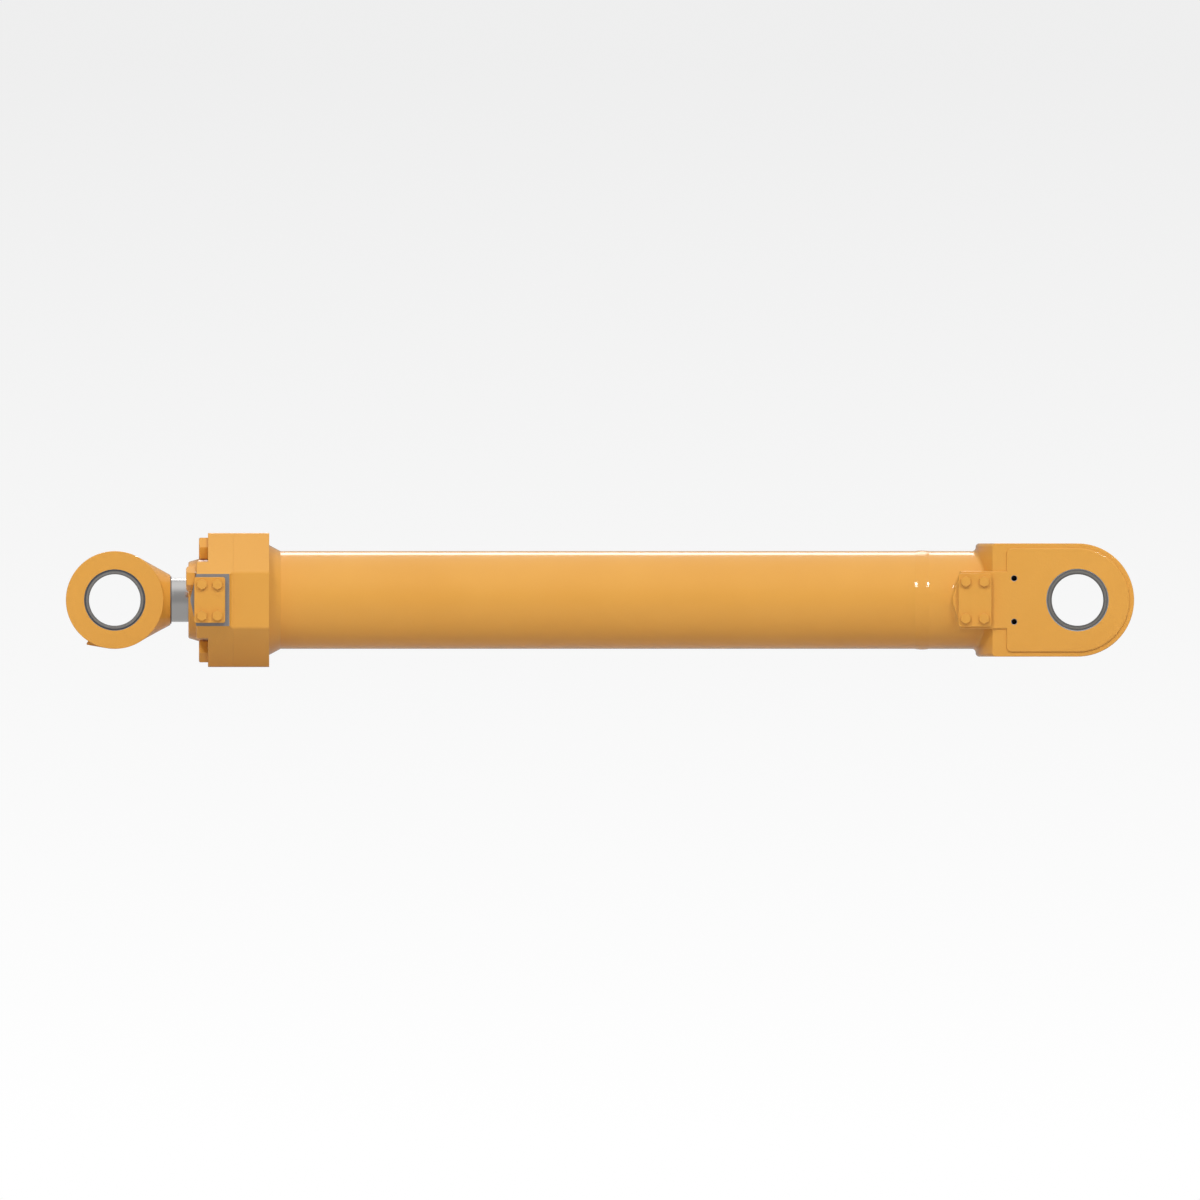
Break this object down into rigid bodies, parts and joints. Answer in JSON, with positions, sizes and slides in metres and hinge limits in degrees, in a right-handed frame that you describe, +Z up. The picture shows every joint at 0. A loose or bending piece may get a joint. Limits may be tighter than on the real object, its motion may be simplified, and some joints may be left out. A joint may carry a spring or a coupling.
{
  "type": "hydraulic cylinder",
  "caption": "Double-acting hydraulic cylinder with an octagonal bolted gland, covered oil ports, a round rod eye and a wide flat-sided base eye.",
  "frame": {"origin": "centre of the base pin bore, on the cylinder's axis", "axes": "+X along the cylinder from the rod eye to the base eye, +Y along both pins, +Z up; the oil ports face -Y"},
  "size_m": [2.075, 0.2858, 0.2606],
  "materials": {
    "yellow_paint": "satin machine enamel, sprayed over castings, tube, plates and bolt heads",
    "bush_steel": "hardened dark steel bush, bored and oiled",
    "seal_case": "grey steel case with a rubber lip bonded to it",
    "bush_bronze": "bronze guide bush",
    "seal_polyurethane": "dark blue polyurethane",
    "seal_rubber": "black nitrile rubber",
    "guide_resin": "brown fabric-filled resin",
    "black_steel": "blackened fastener steel",
    "chrome_rod": "hard chrome, ground and polished along its length",
    "machined_steel": "turned or ground bare steel",
    "piston_iron": "turned nodular iron"
  },
  "bodies": {
    "barrel": {"barrel_tube": "yellow_paint", "barrel_flange": "yellow_paint", "base_weld": "yellow_paint", "base_end": "yellow_paint", "base_bush_front": "bush_steel", "base_bush_rear": "bush_steel", "base_dust_seal_front": "seal_case", "base_dust_seal_rear": "seal_case", "head_gland": "yellow_paint", "rod_guide_bush": "bush_bronze", "rod_seal": "seal_polyurethane", "rod_buffer_seal": "seal_polyurethane", "rod_wiper": "seal_rubber", "head_o_ring": "seal_rubber", "head_backup_ring": "guide_resin", "head_bolts": "yellow_paint", "head_bolt_long": "yellow_paint", "head_bolt_socket": "black_steel", "head_port_cover": "yellow_paint", "head_port_bolts": "yellow_paint", "head_port_o_ring": "seal_rubber", "base_port_cover": "yellow_paint", "base_port_bolts": "yellow_paint", "base_port_o_ring": "seal_rubber"},
    "piston_rings": {"piston_seal": "seal_polyurethane", "piston_seal_energiser": "seal_rubber", "piston_wear_ring_rod_side": "guide_resin", "piston_wear_ring_base_side": "guide_resin"},
    "rod": {"rod": "chrome_rod", "rod_eye": "yellow_paint", "rod_eye_weld": "black_steel", "rod_eye_bush": "bush_steel", "rod_eye_dust_seal_front": "seal_case", "rod_eye_dust_seal_rear": "seal_case", "rod_eye_grease_plug": "black_steel", "cushion_sleeve": "machined_steel", "piston": "piston_iron", "piston_o_ring": "seal_rubber", "piston_nut": "black_steel", "piston_nut_set_screw": "black_steel"}
  },
  "joints": [
    {"name": "rod_slide", "type": "slide", "parent": "barrel", "child": "piston_rings", "axis": [-1, 0, 0], "range_m": [0, 1.16]},
    {"name": "rod_swivel", "type": "hinge", "parent": "piston_rings", "child": "rod", "pos_m": [0, 0, 0], "axis": [-1, 0, 0], "continuous": true}
  ]
}
